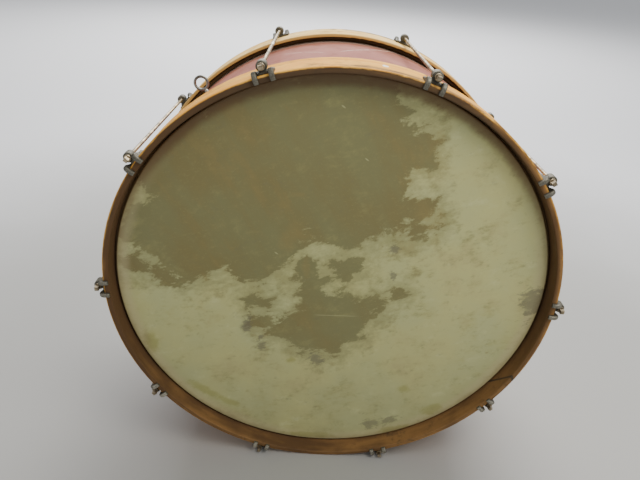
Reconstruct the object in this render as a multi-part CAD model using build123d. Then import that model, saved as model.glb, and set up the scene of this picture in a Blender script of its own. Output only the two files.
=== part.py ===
from build123d import *

import os
from math import cos, pi

# Marching bass drum with wooden counter hoops, calfskin heads and single-tension rods.
# Millimetres. The drum's axis runs along Y, the front head faces -Y, +Z is up, and the
# origin is on the floor under the middle of the drum, which stands on its two hoops.
# Pieces are drawn about the drum's own axis and raised to their standing height at the end.

# ---------------------------------------------------------------- driving dimensions
# shell
SHELL_DIAMETER = 711.2          # 28 in
SHELL_LENGTH = 304.8            # 12 in
SHELL_WALL = 6.0
EDGE_ROUND = 2.4                # round on the outside of each bearing edge
EDGE_BEVEL = 2.6                # bevel on the inside of each bearing edge
RING_WIDTH = 38.0               # reinforcement rings glued inside the shell's ends
RING_WALL = 6.5
RING_SETBACK = 3.5              # behind the bearing edge
RING_BEVEL = 2.5

# skins and the slim hoops that they are lapped around
SKIN = 0.8
SKIN_BEND = 3.0                 # outside radius where a skin turns over the bearing edge
COLLAR_DEPTH = 9.0              # bearing edge to the front of the flesh hoop
FLESH_WALL = 6.0
FLESH_WIDTH = 11.0
FLESH_ROUND = 1.0
LAP_GAP = 1.2                   # between the lapped skin's end and the collar

# counter hoops
HOOP_WIDTH = 66.0
HOOP_LIP = 27.0                 # how far a hoop stands proud of its skin
HOOP_RABBET_WALL = 6.0          # wood outside the flesh hoop
HOOP_GROOVE = 3.4               # gap between a skin's collar and the hoop's thick part
HOOP_OUTER_ROUND = 2.8
HOOP_INNER_ROUND = 2.2
HOOP_REAR_ROUND = 1.6

# tension rods and claws
ROD_COUNT = 10
ROD_DIAMETER = 5.5
ROD_STANDOFF = 10.3             # hoop's outside to the rod's axis
ROD_STICKOUT = 4.0              # rod's end beyond the rear claw's eye
ROD_END_CHAMFER = 0.8
COLLAR_DIAMETER = 10.6
COLLAR_WIDTH = 4.0
COLLAR_ROUND = 0.9
KEY_SQUARE = 6.35               # fits a standard drum key
KEY_LENGTH = 8.0
KEY_CHAMFER = 0.7
EYE_DIAMETER = 15.5             # claw's eye around the rod
EYE_LENGTH = 14.0
EYE_SETBACK = 8.0               # hoop's edge to the eye's near face
EYE_CHAMFER = 1.0
NECK_WIDTH = 8.5                # web that carries the eye
SADDLE_WALL = 3.0               # plate on the hoop that joins the prongs
SADDLE_NEAR = 2.5               # plate ahead of the eye
SADDLE_FAR = 2.0                # plate and prongs behind the eye
PRONG_SPACING = 23.4
PRONG_WIDTH = 7.2
PRONG_REACH = 9.4               # how far a prong runs down the hoop's face
PRONG_TIP_WALL = 3.8
PRONG_FACE_WALL = 5.2           # at the fullest part of the bend
PRONG_BELLY = 1.7               # height of that fullest part over the hoop
PRONG_LEAN = 0.25               # slope of the prong's front at its tip
PRONG_KNUCKLE = 7.4             # height of the bend above the hoop
PRONG_SHOULDER = 1.4            # fall from the bend's top to its back
PRONG_ROUND = 2.2

# carry eye, a ring bolt through the shell between two rods
RING_EYE_ANGLE = -36.0          # from the top of the drum, towards -X
RING_EYE_Y = -50.0              # ahead of the drum's middle
RING_EYE_RISE = 24.0            # shell's outside to the ring's centre
RING_EYE_BORE = 16.0
RING_EYE_WIRE = 4.4
RING_EYE_LAND = 1.6             # straight length of the ring's bore
NECK_FOOT = 8.0
NECK_TOP = 4.6
SHANK_DIAMETER = 5.0
SHANK_END = 2.5                 # shank beyond the nut
WASHER_WALL = 1.4
OUTER_WASHER_DIAMETER = 15.0
INNER_WASHER_DIAMETER = 18.0
NUT_ACROSS_FLATS = 9.5
NUT_HEIGHT = 4.4

# clearances
SEAT = 0.1                      # between pieces that bear on each other
SKIN_SLIDE = 0.4                # skin's collar over the shell
HOOP_SLIDE = 0.4                # hoop's rabbet over the lapped skin
RUNNING = 0.06                  # radial, a rod in a claw's eye
BOLT_HOLE = 0.15                # radial, the ring bolt in the shell and washers
OVERRUN = 1.0                   # cutters run past the faces that they open

# ---------------------------------------------------------------- radii that follow
shell_r = SHELL_DIAMETER / 2
shell_bore_r = shell_r - SHELL_WALL
ring_bore_r = shell_bore_r - RING_WALL
collar_in_r = shell_r + SKIN_SLIDE
collar_out_r = collar_in_r + SKIN
flesh_in_r = collar_out_r + SEAT
flesh_out_r = flesh_in_r + FLESH_WALL
lap_in_r = flesh_out_r + SEAT
lap_out_r = lap_in_r + SKIN
rabbet_r = lap_out_r + HOOP_SLIDE
hoop_r = rabbet_r + HOOP_RABBET_WALL
hoop_mouth_r = collar_out_r + HOOP_GROOVE
rod_circle_r = hoop_r + ROD_STANDOFF
rod_r = ROD_DIAMETER / 2

# ---------------------------------------------------------------- places along the axis
# measured from the front bearing edge, positive towards the rear
skin_face = -(SEAT + SKIN)
hoop_front = skin_face - HOOP_LIP
hoop_back = hoop_front + HOOP_WIDTH
flesh_front = COLLAR_DEPTH
flesh_back = flesh_front + FLESH_WIDTH
lap_front = flesh_front - SEAT - SKIN
lap_back = flesh_back + SEAT + SKIN
shoulder = lap_front - SEAT

# the same in the drum's frame, front side
front_edge_y = -SHELL_LENGTH / 2
hoop_edge_y = front_edge_y + hoop_front
eye_near_y = hoop_edge_y + EYE_SETBACK
eye_far_y = eye_near_y + EYE_LENGTH

# heights over the drum's axis of what the ring bolt holds
outer_washer_z = shell_r + SEAT
bolt_shoulder = outer_washer_z + WASHER_WALL + SEAT
inner_washer_rim = (shell_bore_r**2 - (INNER_WASHER_DIAMETER / 2) ** 2) ** 0.5
inner_washer_z = inner_washer_rim - SEAT - WASHER_WALL
nut_bottom = inner_washer_z - SEAT - NUT_HEIGHT

# the drum stands on its hoops, or on the two lowest claws where they reach lower
lowest_claw = rod_circle_r * cos(pi / ROD_COUNT) + EYE_DIAMETER / 2
axis_height = max(hoop_r, lowest_claw)


# ---------------------------------------------------------------- helpers
def polygon(points):
    """A face in the XY plane whose x is the radius and whose y runs along the axis."""
    return make_face(Polyline(*points, close=True))


def rounded(face, corners, radius):
    """Round the corners of a face that lie at the given points."""
    chosen = [v for v in face.vertices() if any((Vector(*c) - v.center()).length < 1e-6 for c in corners)]
    return fillet(chosen, radius)


def about_axis(face):
    """A ring, turned about the drum's axis."""
    return revolve(face, Axis.Y, 360)


def to_rear(part):
    """The same piece at the other end of the drum."""
    return mirror(part, about=Plane.XZ)


def around(part, angle):
    """Turn a piece made at the top of the drum to an angle, clockwise from the front."""
    return Rot(0, angle, 0) * part


def bar_along_y(radius, start, end, z=0.0):
    """A round bar along the axis direction between two stations."""
    plane = Plane(origin=(0, start, z), x_dir=(1, 0, 0), z_dir=(0, 1, 0))
    return extrude(plane * Circle(radius), end - start)


# ---------------------------------------------------------------- shell and its rings
def make_shell():
    half = SHELL_LENGTH / 2
    outer_corners = [(shell_r, -half), (shell_r, half)]
    inner_corners = [(shell_bore_r, -half), (shell_bore_r, half)]
    wall = polygon([inner_corners[0], outer_corners[0], outer_corners[1], inner_corners[1]])
    wall = rounded(wall, outer_corners, EDGE_ROUND)
    bevelled = [v for v in wall.vertices() if abs(v.X - shell_bore_r) < 1e-6]
    wall = chamfer(bevelled, EDGE_BEVEL)
    return about_axis(wall) - bolt_hole()


def make_reinforcement_ring():
    start = front_edge_y + RING_SETBACK
    near_corner = (ring_bore_r, start)
    far_corner = (ring_bore_r, start + RING_WIDTH)
    section = polygon(
        [near_corner, (shell_bore_r, start), (shell_bore_r, start + RING_WIDTH), far_corner]
    )
    bevelled = [v for v in section.vertices() if abs(v.X - ring_bore_r) < 1e-6]
    return about_axis(chamfer(bevelled, RING_BEVEL))


# ---------------------------------------------------------------- skins and hoops
def make_flesh_hoop():
    start = front_edge_y + flesh_front
    end = front_edge_y + flesh_back
    corners = [(flesh_in_r, start), (flesh_out_r, start), (flesh_out_r, end), (flesh_in_r, end)]
    return about_axis(rounded(polygon(corners), corners, FLESH_ROUND))


def make_head():
    """A flat skin, turned down over the bearing edge and lapped around its flesh hoop."""
    y = front_edge_y
    lap_end_r = collar_out_r + LAP_GAP
    outer_bend = (collar_out_r, y + skin_face)
    inner_bend = (collar_in_r, y - SEAT)
    section = polygon([
        (0, y + skin_face),
        outer_bend,
        (collar_out_r, y + flesh_back + SEAT),
        (lap_in_r, y + flesh_back + SEAT),
        (lap_in_r, y + flesh_front - SEAT),
        (lap_end_r, y + flesh_front - SEAT),
        (lap_end_r, y + lap_front),
        (lap_out_r, y + lap_front),
        (lap_out_r, y + lap_back),
        (collar_in_r, y + lap_back),
        inner_bend,
        (0, y - SEAT),
    ])
    section = rounded(section, [outer_bend], SKIN_BEND)
    section = rounded(section, [inner_bend], SKIN_BEND - SKIN)
    return about_axis(section)


def make_counter_hoop():
    """A bent-wood hoop, rabbeted behind its lip to seat on the flesh hoop."""
    front = front_edge_y + hoop_front
    back = front_edge_y + hoop_back
    step = front_edge_y + shoulder
    mouth = (hoop_mouth_r, front)
    nose = (hoop_r, front)
    back_corners = [(hoop_r, back), (rabbet_r, back)]
    section = polygon([mouth, nose, *back_corners, (rabbet_r, step), (hoop_mouth_r, step)])
    section = rounded(section, [nose], HOOP_OUTER_ROUND)
    section = rounded(section, [mouth], HOOP_INNER_ROUND)
    section = rounded(section, back_corners, HOOP_REAR_ROUND)
    return about_axis(section)


# ---------------------------------------------------------------- rods and claws
def make_rod():
    """A straight rod at the top of the drum, with a collar and a square key tip."""
    collar_back = eye_near_y - SEAT
    collar_front = collar_back - COLLAR_WIDTH
    rod_end = -eye_near_y + ROD_STICKOUT
    shaft = bar_along_y(rod_r, collar_back, rod_end, z=rod_circle_r)
    shaft = chamfer(shaft.edges().sort_by(Axis.Y)[-1], ROD_END_CHAMFER)
    collar = bar_along_y(COLLAR_DIAMETER / 2, collar_front, collar_back, z=rod_circle_r)
    collar = fillet(collar.edges().filter_by(GeomType.CIRCLE), COLLAR_ROUND)
    tip_plane = Plane(origin=(0, collar_front, rod_circle_r), x_dir=(1, 0, 0), z_dir=(0, -1, 0))
    tip = extrude(tip_plane * Rectangle(KEY_SQUARE, KEY_SQUARE), KEY_LENGTH)
    tip = chamfer(tip.faces().sort_by(Axis.Y)[0].edges(), KEY_CHAMFER)
    return shaft + collar + tip


def make_prong(x):
    """One hooked prong: along the hoop, over its edge and down its face."""
    inside = hoop_r + SEAT
    face = hoop_edge_y - SEAT
    tip_z = inside - PRONG_REACH
    tail_y = eye_far_y + SADDLE_FAR
    knuckle_z = hoop_r + PRONG_KNUCKLE
    side = Plane(origin=(x - PRONG_WIDTH / 2, 0, 0), x_dir=(0, 1, 0), z_dir=(1, 0, 0))
    back = Polyline(
        (face - PRONG_TIP_WALL, tip_z),
        (face, tip_z),
        (face, inside - SADDLE_WALL),
        (tail_y, inside - SADDLE_WALL),
        (tail_y, inside + SADDLE_WALL),
    )
    crown = Spline(
        back @ 1,
        (hoop_edge_y + PRONG_KNUCKLE, knuckle_z - PRONG_SHOULDER),
        (hoop_edge_y, knuckle_z),
        (face - PRONG_FACE_WALL, inside + PRONG_BELLY),
        back @ 0,
        tangents=((-1, 0), (PRONG_LEAN, -1)),
    )
    blank = extrude(side * make_face(back + crown), PRONG_WIDTH)
    outside = [e for e in blank.edges() if e.geom_type == GeomType.BSPLINE]
    return fillet(outside, PRONG_ROUND)


def make_claw():
    """A cast claw at the top of the drum: an eye for the rod, on a plate with two prongs."""
    plate_near = eye_near_y - SADDLE_NEAR
    plate_length = eye_far_y + SADDLE_FAR - plate_near
    plate = Pos(0, plate_near + plate_length / 2, hoop_r + SEAT) * Box(
        PRONG_SPACING, plate_length, 2 * SADDLE_WALL
    )
    neck_height = rod_circle_r - hoop_r
    neck = Pos(0, (eye_near_y + eye_far_y) / 2, hoop_r + neck_height / 2) * Box(
        NECK_WIDTH, EYE_LENGTH, neck_height
    )
    eye = bar_along_y(EYE_DIAMETER / 2, eye_near_y, eye_far_y, z=rod_circle_r)
    eye = chamfer(eye.edges().filter_by(GeomType.CIRCLE), EYE_CHAMFER)
    claw = plate + neck + eye
    for side in (-1, 1):
        claw += make_prong(side * PRONG_SPACING / 2)
    seat = bar_along_y(hoop_r + SEAT, hoop_edge_y - SEAT, hoop_edge_y + HOOP_WIDTH)
    bore = bar_along_y(rod_r + RUNNING, eye_near_y - OVERRUN, eye_far_y + OVERRUN, z=rod_circle_r)
    return claw - seat - bore


# ---------------------------------------------------------------- carry eye
def on_shell(part):
    """Place a piece, made upright at the top of the shell, where the carry eye is."""
    return around(Pos(0, RING_EYE_Y, 0) * part, RING_EYE_ANGLE)


def upright_bar(radius, bottom, top):
    """A round bar that stands radially at the top of the drum."""
    return extrude(Plane.XY.offset(bottom) * Circle(radius), top - bottom)


def bolt_hole():
    hole = upright_bar(SHANK_DIAMETER / 2 + BOLT_HOLE, shell_bore_r - OVERRUN, shell_r + OVERRUN)
    return on_shell(hole)


def make_washer(diameter, bottom):
    disc = upright_bar(diameter / 2, bottom, bottom + WASHER_WALL)
    hole = upright_bar(SHANK_DIAMETER / 2 + BOLT_HOLE, bottom - OVERRUN, bottom + WASHER_WALL + OVERRUN)
    return on_shell(disc - hole)


def make_ring_bolt():
    """An eye bolt: the ring stands across the drum's axis, its shank goes through the shell."""
    wire_r = RING_EYE_WIRE / 2
    bore_r = RING_EYE_BORE / 2
    wire_circle_r = bore_r + (wire_r**2 - (RING_EYE_LAND / 2) ** 2) ** 0.5
    wire = Pos(wire_circle_r, 0) * Circle(wire_r) - Rectangle(2 * bore_r, RING_EYE_WIRE)
    centre_z = shell_r + RING_EYE_RISE
    ring = Pos(0, 0, centre_z) * about_axis(wire)
    wire_z = centre_z - wire_circle_r
    neck_height = wire_z - bolt_shoulder
    neck = Pos(0, 0, bolt_shoulder + neck_height / 2) * Cone(NECK_FOOT / 2, NECK_TOP / 2, neck_height)
    shank = upright_bar(SHANK_DIAMETER / 2, nut_bottom - SHANK_END, bolt_shoulder + neck_height / 2)
    return on_shell(ring + neck + shank)


def make_nut():
    blank = Plane.XY.offset(nut_bottom) * RegularPolygon(NUT_ACROSS_FLATS / 2, 6, major_radius=False)
    hole = upright_bar(SHANK_DIAMETER / 2 + SEAT, nut_bottom - OVERRUN, nut_bottom + NUT_HEIGHT + OVERRUN)
    return on_shell(extrude(blank, NUT_HEIGHT) - hole)


# ---------------------------------------------------------------- the whole drum
front_claw = make_claw()
rear_claw = to_rear(front_claw)
rod = make_rod()
front_ring = make_reinforcement_ring()
front_flesh_hoop = make_flesh_hoop()
front_head = make_head()
front_counter_hoop = make_counter_hoop()

nodes = {
    "shell": make_shell(),
    "front_reinforcement_ring": front_ring,
    "rear_reinforcement_ring": to_rear(front_ring),
    "front_flesh_hoop": front_flesh_hoop,
    "rear_flesh_hoop": to_rear(front_flesh_hoop),
    "front_head": front_head,
    "rear_head": to_rear(front_head),
    "front_counter_hoop": front_counter_hoop,
    "rear_counter_hoop": to_rear(front_counter_hoop),
    "carry_eye": make_ring_bolt(),
    "carry_eye_outer_washer": make_washer(OUTER_WASHER_DIAMETER, outer_washer_z),
    "carry_eye_inner_washer": make_washer(INNER_WASHER_DIAMETER, inner_washer_z),
    "carry_eye_nut": make_nut(),
}
for number in range(1, ROD_COUNT + 1):
    angle = (number - 0.5) * 360 / ROD_COUNT
    nodes[f"tension_rod_{number:02d}"] = around(rod, angle)
    nodes[f"front_claw_{number:02d}"] = around(front_claw, angle)
    nodes[f"rear_claw_{number:02d}"] = around(rear_claw, angle)

os.makedirs("parts", exist_ok=True)
for name, piece in nodes.items():
    export_step(Pos(0, 0, axis_height) * piece, f"parts/{name}.step")
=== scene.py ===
"""An old marching bass drum: its looks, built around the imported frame.

Metres, +Z up, the front head faces -Y, and the drum's axis runs along Y.
"""
import logging
import math
from dataclasses import dataclass
from enum import Enum
from typing import Any

import bmesh
import bpy
import numpy as np
from bpy.types import Material, Mesh, NodeSocket, Object
from mathutils import Matrix, Vector


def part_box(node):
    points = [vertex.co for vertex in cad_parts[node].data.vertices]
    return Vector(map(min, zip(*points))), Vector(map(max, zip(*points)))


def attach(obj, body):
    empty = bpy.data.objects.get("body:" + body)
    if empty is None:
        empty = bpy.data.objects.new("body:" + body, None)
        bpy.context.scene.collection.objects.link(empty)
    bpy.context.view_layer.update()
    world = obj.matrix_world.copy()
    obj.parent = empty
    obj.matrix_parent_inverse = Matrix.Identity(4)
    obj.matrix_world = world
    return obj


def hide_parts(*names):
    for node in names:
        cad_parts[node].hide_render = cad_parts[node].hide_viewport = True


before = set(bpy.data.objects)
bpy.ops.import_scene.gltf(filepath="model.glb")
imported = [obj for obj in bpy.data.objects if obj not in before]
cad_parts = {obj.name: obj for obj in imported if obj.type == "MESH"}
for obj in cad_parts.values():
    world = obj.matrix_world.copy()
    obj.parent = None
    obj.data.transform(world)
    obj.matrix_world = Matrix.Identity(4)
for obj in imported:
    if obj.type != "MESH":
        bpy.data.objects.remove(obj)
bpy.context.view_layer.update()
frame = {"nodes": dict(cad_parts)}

LOG = logging.getLogger("bass_drum")

Rgb = tuple[float, float, float]
Xyz = tuple[float, float, float]
Point = tuple[float, float]
Band = tuple[float, float]


class Side(Enum):
    """The two ends of the drum, with the direction along Y that each one faces."""

    FRONT = -1.0
    REAR = 1.0

    @property
    def word(self) -> str:
        """The side's name as the frame's nodes spell it."""
        return self.name.lower()


# ---- shader building
class Value:
    """A number that varies over a surface, with Python's arithmetic."""

    def __init__(self, shading: "Shading", socket: NodeSocket) -> None:
        """Wraps one output socket of a material's nodes."""
        self.shading = shading
        self.socket = socket

    def _maths(self, operation: str, first: Any, second: Any = 0.0) -> "Value":
        """Adds one Math node."""
        return self.shading.node("Math", {0: first, 1: second}, operation=operation)

    def __add__(self, other: Any) -> "Value":
        """Sum."""
        return self._maths("ADD", self, other)

    __radd__ = __add__

    def __sub__(self, other: Any) -> "Value":
        """Difference."""
        return self._maths("SUBTRACT", self, other)

    def __rsub__(self, other: Any) -> "Value":
        """Difference, with the value on the right."""
        return self._maths("SUBTRACT", other, self)

    def __mul__(self, other: Any) -> "Value":
        """Product."""
        return self._maths("MULTIPLY", self, other)

    __rmul__ = __mul__

    def __truediv__(self, other: Any) -> "Value":
        """Quotient."""
        return self._maths("DIVIDE", self, other)

    def __rtruediv__(self, other: Any) -> "Value":
        """Quotient, with the value below the line."""
        return self._maths("DIVIDE", other, self)

    def __pow__(self, other: float) -> "Value":
        """Power."""
        return self._maths("POWER", self, other)

    def __abs__(self) -> "Value":
        """Size without sign."""
        return self._maths("ABSOLUTE", self)

    def least(self, other: Any) -> "Value":
        """The smaller of two."""
        return self._maths("MINIMUM", self, other)

    def most(self, other: Any) -> "Value":
        """The larger of two."""
        return self._maths("MAXIMUM", self, other)

    def rise(self, low: float, high: float) -> "Value":
        """A smooth step.

        Args:
            low: where the step is still 0.
            high: where it has reached 1; below low, the step falls instead.

        Returns:
            A value from 0 to 1.
        """
        up = high > low
        ends = {"From Min": min(low, high), "From Max": max(low, high),
                "To Min": 0.0 if up else 1.0, "To Max": 1.0 if up else 0.0}
        return self.shading.node("MapRange", {"Value": self, **ends},
                                 interpolation_type="SMOOTHSTEP")


class Shading:
    """A material's nodes: every node is added through one method."""

    def __init__(self, name: str) -> None:
        """Starts a material with its surface shader."""
        self.material = bpy.data.materials.new(name)
        self.material.use_nodes = True
        self.tree = self.material.node_tree
        self.surface = self.tree.nodes["Principled BSDF"]
        self.place = self.node("TexCoord", output="Object")

    def node(self, kind: str, sockets: dict[str | int, Any] | None = None,
             output: str | int = 0, **settings: Any) -> Value:
        """Adds a shader node.

        Args:
            kind: the node's type, without its ShaderNode prefix.
            sockets: values or links, by socket identifier or number.
            output: the output that is wanted.
            settings: the node's own settings, set before its sockets.

        Returns:
            The wanted output.
        """
        made = self.tree.nodes.new("ShaderNode" + kind)
        for key, value in settings.items():
            setattr(made, key, value)
        for key, value in (sockets or {}).items():
            self.put(self.find(made.inputs, key), value)
        return Value(self, self.find(made.outputs, output))

    @staticmethod
    def find(sockets: Any, key: str | int) -> NodeSocket:
        """The socket with that number or identifier."""
        if isinstance(key, int):
            return sockets[key]
        return next(socket for socket in sockets if socket.identifier == key)

    def put(self, socket: NodeSocket, value: Any) -> None:
        """Links a value to a socket, or sets the socket to a constant."""
        if isinstance(value, Value):
            self.tree.links.new(value.socket, socket)
        elif isinstance(value, tuple) and len(value) == 3 and len(socket.default_value) == 4:
            socket.default_value = (*value, 1.0)
        else:
            socket.default_value = value

    def parts(self, vector: Value) -> tuple[Value, Value, Value]:
        """The three coordinates of a vector."""
        split = self.node("SeparateXYZ", {"Vector": vector}).socket.node
        return tuple(Value(self, split.outputs[i]) for i in range(3))

    def vector(self, x: Any, y: Any, z: Any) -> Value:
        """A vector from three numbers."""
        return self.node("CombineXYZ", {"X": x, "Y": y, "Z": z})

    def stretched(self, scale: Xyz, lean: float) -> Value:
        """Object coordinates, leant by so many degrees and then scaled along each axis."""
        turn = (0.0, math.radians(lean), 0.0)
        turned = self.node("Mapping", {"Vector": self.place, "Rotation": turn})
        return self.node("Mapping", {"Vector": turned, "Scale": scale})

    def noise(self, scale: float, detail: float = 4.0, rough: float = 0.5,
              where: Value | None = None, fourth: Value | None = None, warp: float = 0.0) -> Value:
        """Cloudy noise about 0.

        Args:
            scale: blotches in a metre, or in one unit of where.
            detail: how many finer layers it has.
            rough: how strong the finer layers are.
            where: the coordinates, the object's own if left out.
            fourth: a fourth coordinate.
            warp: how far the noise bends itself.

        Returns:
            A value that is mostly from -0.5 to 0.5.
        """
        sockets = {"Vector": where or self.place, "Scale": scale, "Detail": detail,
                   "Roughness": rough, "Distortion": warp}
        if fourth is not None:
            sockets["W"] = fourth
        dimensions = "3D" if fourth is None else "4D"
        return self.node("TexNoise", sockets, noise_dimensions=dimensions) - 0.5

    def bent_grain(self, ways: "Ways", rates: Xyz, detail: float, rough: float) -> Value:
        """Noise drawn out round the drum's axis.

        Args:
            ways: the depth, the sine and cosine of the angle, and the place along the axis.
            rates: blotches round the drum, and in a metre of depth and of the axis.
            detail: how many finer layers it has.
            rough: how strong the finer layers are.

        Returns:
            A value that is mostly from -0.5 to 0.5.
        """
        depth, sine, cosine, y = ways
        turn, deep, along = rates
        where = self.vector(sine * turn, cosine * turn, depth * deep)
        return self.noise(1.0, detail, rough, where, y * along)

    def specks(self, scale: float, size: float, where: Value | None = None) -> Value:
        """Scattered round spots: 1 at a spot's middle, 0 outside it."""
        sockets = {"Vector": where or self.place, "Scale": scale, "Randomness": 1.0}
        return self.node("TexVoronoi", sockets, output="Distance").rise(size, 0.3 * size)

    def mix(self, amount: Any, under: Any, over: Any) -> Value:
        """One colour laid over another."""
        sockets = {"Factor_Float": amount, "A_Color": under, "B_Color": over}
        return self.node("Mix", sockets, output="Result_Color", data_type="RGBA")

    def layered(self, under: Any, *layers: tuple[Any, Any]) -> Value:
        """Lays colours over one another.

        Args:
            under: the lowest colour.
            layers: the amount and the colour of each layer, from the lowest up.

        Returns:
            What is seen from above.
        """
        for amount, over in layers:
            under = self.mix(amount, under, over)
        return under

    def attribute(self, name: str) -> Value:
        """A number kept on the mesh's points."""
        return self.node("Attribute", output="Fac", attribute_name=name)

    def bump(self, height: Value, strength: float, distance: float) -> Value:
        """A bumped normal from a height, with the bump's depth in metres."""
        sockets = {"Height": height, "Strength": strength, "Distance": distance}
        return self.node("Bump", sockets)

    def finish(self, colour: Value, roughness: Any, **more: Any) -> Material:
        """Connects the surface shader.

        Args:
            colour: the base colour.
            roughness: the roughness.
            more: other sockets of the surface shader, with _ for a space.

        Returns:
            The finished material.
        """
        wanted = {"Base Color": colour, "Roughness": roughness}
        wanted.update({key.replace("_", " "): value for key, value in more.items()})
        for key, value in wanted.items():
            self.put(self.surface.inputs[key], value)
        return self.material


Ways = tuple[Value, Value, Value, Value]


@dataclass(frozen=True)
class Round:
    """Coordinates about the drum's axis, for patterns that run round a hoop or the shell."""

    axis_z: float

    def read(self, shading: Shading) -> Ways:
        """The radius, the sine and cosine of the angle from the top, and y."""
        x, y, z = shading.parts(shading.place)
        up = z - self.axis_z
        radius = (x * x + up * up) ** 0.5
        return radius, x / radius, up / radius, y


# ---- finishes
# A band says where a look starts and where it is full, in metres unless its name says otherwise.
@dataclass(frozen=True)
class VarnishedMaple:
    """Aged varnish on a bent maple hoop: gold where it is worn, brown where it is soiled, with
    painted light on its outside and front edge and painted shade on its faces and inner wall.
    """

    name: str
    axis_z: float
    outer_r: float
    edge_y: float
    back_y: float
    gold: Rgb = (0.78, 0.34, 0.046)
    pale: Rgb = (0.93, 0.505, 0.098)
    amber: Rgb = (0.31, 0.168, 0.062)
    brown: Rgb = (0.125, 0.07, 0.034)
    red_brown: Rgb = (0.158, 0.078, 0.043)
    grime: Rgb = (0.062, 0.05, 0.034)
    chalk: Rgb = (0.88, 0.85, 0.76)
    chip: Xyz | None = None
    joint: float | None = None
    # Depths in from the hoop's outside.
    outer_face: Band = (0.0022, 0.0006)
    inner_wall: Band = (0.0066, 0.0092)
    inner_half: Band = (0.0040, 0.0072)
    rubbed_rim: Band = (0.0042, 0.0014)
    corner: float = 0.0010
    corner_line: Band = (0.0020, 0.0006)
    # Distances back from the hoop's outer edge, and out from its back.
    corner_reach: Band = (0.005, 0.0015)
    soiled_reach: Band = (0.026, 0.006)
    back_reach: Band = (0.0012, 0.0004)
    # The glued seam's half width, and how near its angle has to be, as a cosine.
    seam: Band = (0.0048, 0.0016)
    seam_near: Band = (0.96, 0.98)

    def make(self) -> Material:
        """Builds the material."""
        s = Shading(self.name)
        radius, sine, cosine, y = Round(self.axis_z).read(s)
        inward = self.outer_r - radius
        out = abs(y)
        ways = (inward, sine, cosine, y)
        grain = s.bent_grain(ways, (11.0, 300.0, 120.0), 5, 0.62)
        broad = s.bent_grain(ways, (3.5, 150.0, 48.0), 4, 0.55)
        patch = s.noise(8.0, 4, 0.6)
        mottle = s.noise(46.0, 5, 0.66)
        fleck = s.noise(150.0, 4, 0.65)

        soiled = (out.rise(*(self.edge_y - far for far in self.soiled_reach))
                  * (mottle * 1.6 + broad * 1.4 + 0.50 + sine * 1.2).rise(0.25, 0.85))
        top = s.layered(
            self.gold,
            ((broad * 2.0 + grain * 1.2 + 0.5).rise(0.1, 0.9), self.pale),
            ((grain * 2.6 + mottle * 0.8).rise(0.02, 0.7) * 0.85, self.amber),
            ((grain * 1.7 + broad * 1.3).rise(0.20, 0.62) * 0.65, self.brown),
            ((patch + mottle * 0.8).rise(0.06, 0.36) * 0.60, self.red_brown),
            ((mottle + fleck).rise(0.22, 0.45) * 0.5, self.brown),
            (soiled * 0.80, self.brown))

        # Painted shade: the inner half of the face and the inner wall are painted brown, less so at
        # the bottom of the drum, where the wall faces up to the light.
        wall = inward.rise(*self.inner_wall)
        low_part = cosine.rise(0.15, -0.75)
        rubbed = (inward.rise(*self.rubbed_rim)
                  * (broad * 1.4 + mottle * 1.6 + sine * 0.25 + 0.30).rise(0.15, 0.75))
        # Painted light: the end face at the hoop's back, which lies in shade, is painted gold.
        back = out.rise(*(self.back_y + far for far in self.back_reach))
        # Painted light: the face is painted lighter towards the bottom and the right.
        lit = broad * 1.8 + patch * 1.6 + 0.42 - cosine * 0.12 + sine * 0.16
        face = s.layered(
            self.brown,
            (lit.rise(0.15, 0.85), self.amber),
            ((grain * 2.2 + mottle * 0.9).rise(0.06, 0.8) * 0.85, self.red_brown),
            (inward.rise(*self.inner_half) * (1.0 - low_part * 0.65) * 0.75, self.brown),
            ((mottle + patch * 0.9 + fleck * 0.5).rise(0.08, 0.36) * 0.75, self.grime),
            (wall * (1.0 - low_part) * 0.8, self.brown),
            # painted shade: the face is painted darker towards the top of the drum
            (cosine.rise(0.60, 0.95) * (mottle + 0.75).least(1.0) * 0.55, self.grime),
            (rubbed * 0.40, self.gold),
            (back * 0.75, self.gold))

        # Painted light: the outside, worn varnish, is painted much lighter than the faces and inner
        # wall, which are painted as if in shade.
        outside = inward.rise(*self.outer_face)
        # Pale line on the rounded front edge: worn varnish, and a painted highlight that is
        # stronger towards the top.
        edge_wear_and_highlight = (abs(inward - self.corner).rise(*self.corner_line)
                     * out.rise(*(self.edge_y - far for far in self.corner_reach)))
        worn = (broad * 1.2 + mottle * 1.5 + 0.45).rise(0.25, 0.75)
        wood = s.layered(face, (outside, top),
                         (edge_wear_and_highlight * worn * (cosine * 0.40 + 0.55), self.pale))
        if self.joint is not None:
            wood = s.mix(self.scarf(ways, fleck) * 0.85, wood, self.grime)
        if self.chip is not None:
            wood = s.mix(self.chipped(ways, fleck) * outside, wood, self.chalk)
        height = grain * 0.6 + mottle * 0.3 + fleck * 0.2
        rough = (mottle * 0.30 + grain * 0.2 + outside * 0.22 + 0.48).most(0.25)
        return s.finish(wood, rough, Normal=s.bump(height, 0.40, 0.0006),
                        Specular_IOR_Level=0.06)

    def scarf(self, ways: Ways, fleck: Value) -> Value:
        """The dark slanted seam where the hoop's two ends are glued together."""
        inward, sine, cosine, y = ways
        turn = math.radians(self.joint)
        along = (sine * math.cos(turn) - cosine * math.sin(turn)) * self.outer_r
        near = (sine * math.sin(turn) + cosine * math.cos(turn)).rise(*self.seam_near)
        slanted = along + inward * 0.9 + (abs(y) - self.edge_y) * 1.6 + fleck * 0.0012
        return abs(slanted).rise(*self.seam) * near

    def chipped(self, ways: Ways, fleck: Value) -> Value:
        """A chip in the varnish, from its angle, its place along the axis and its half length."""
        _, sine, cosine, y = ways
        angle, place, half = self.chip
        along = (sine - math.sin(math.radians(angle))) * self.outer_r / half
        across = (y - place) / (1.5 * half)
        spot = (along * along + across * across + fleck * 2.0).rise(1.25, 0.75)
        return spot * cosine.rise(0.0, 0.2)


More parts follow.
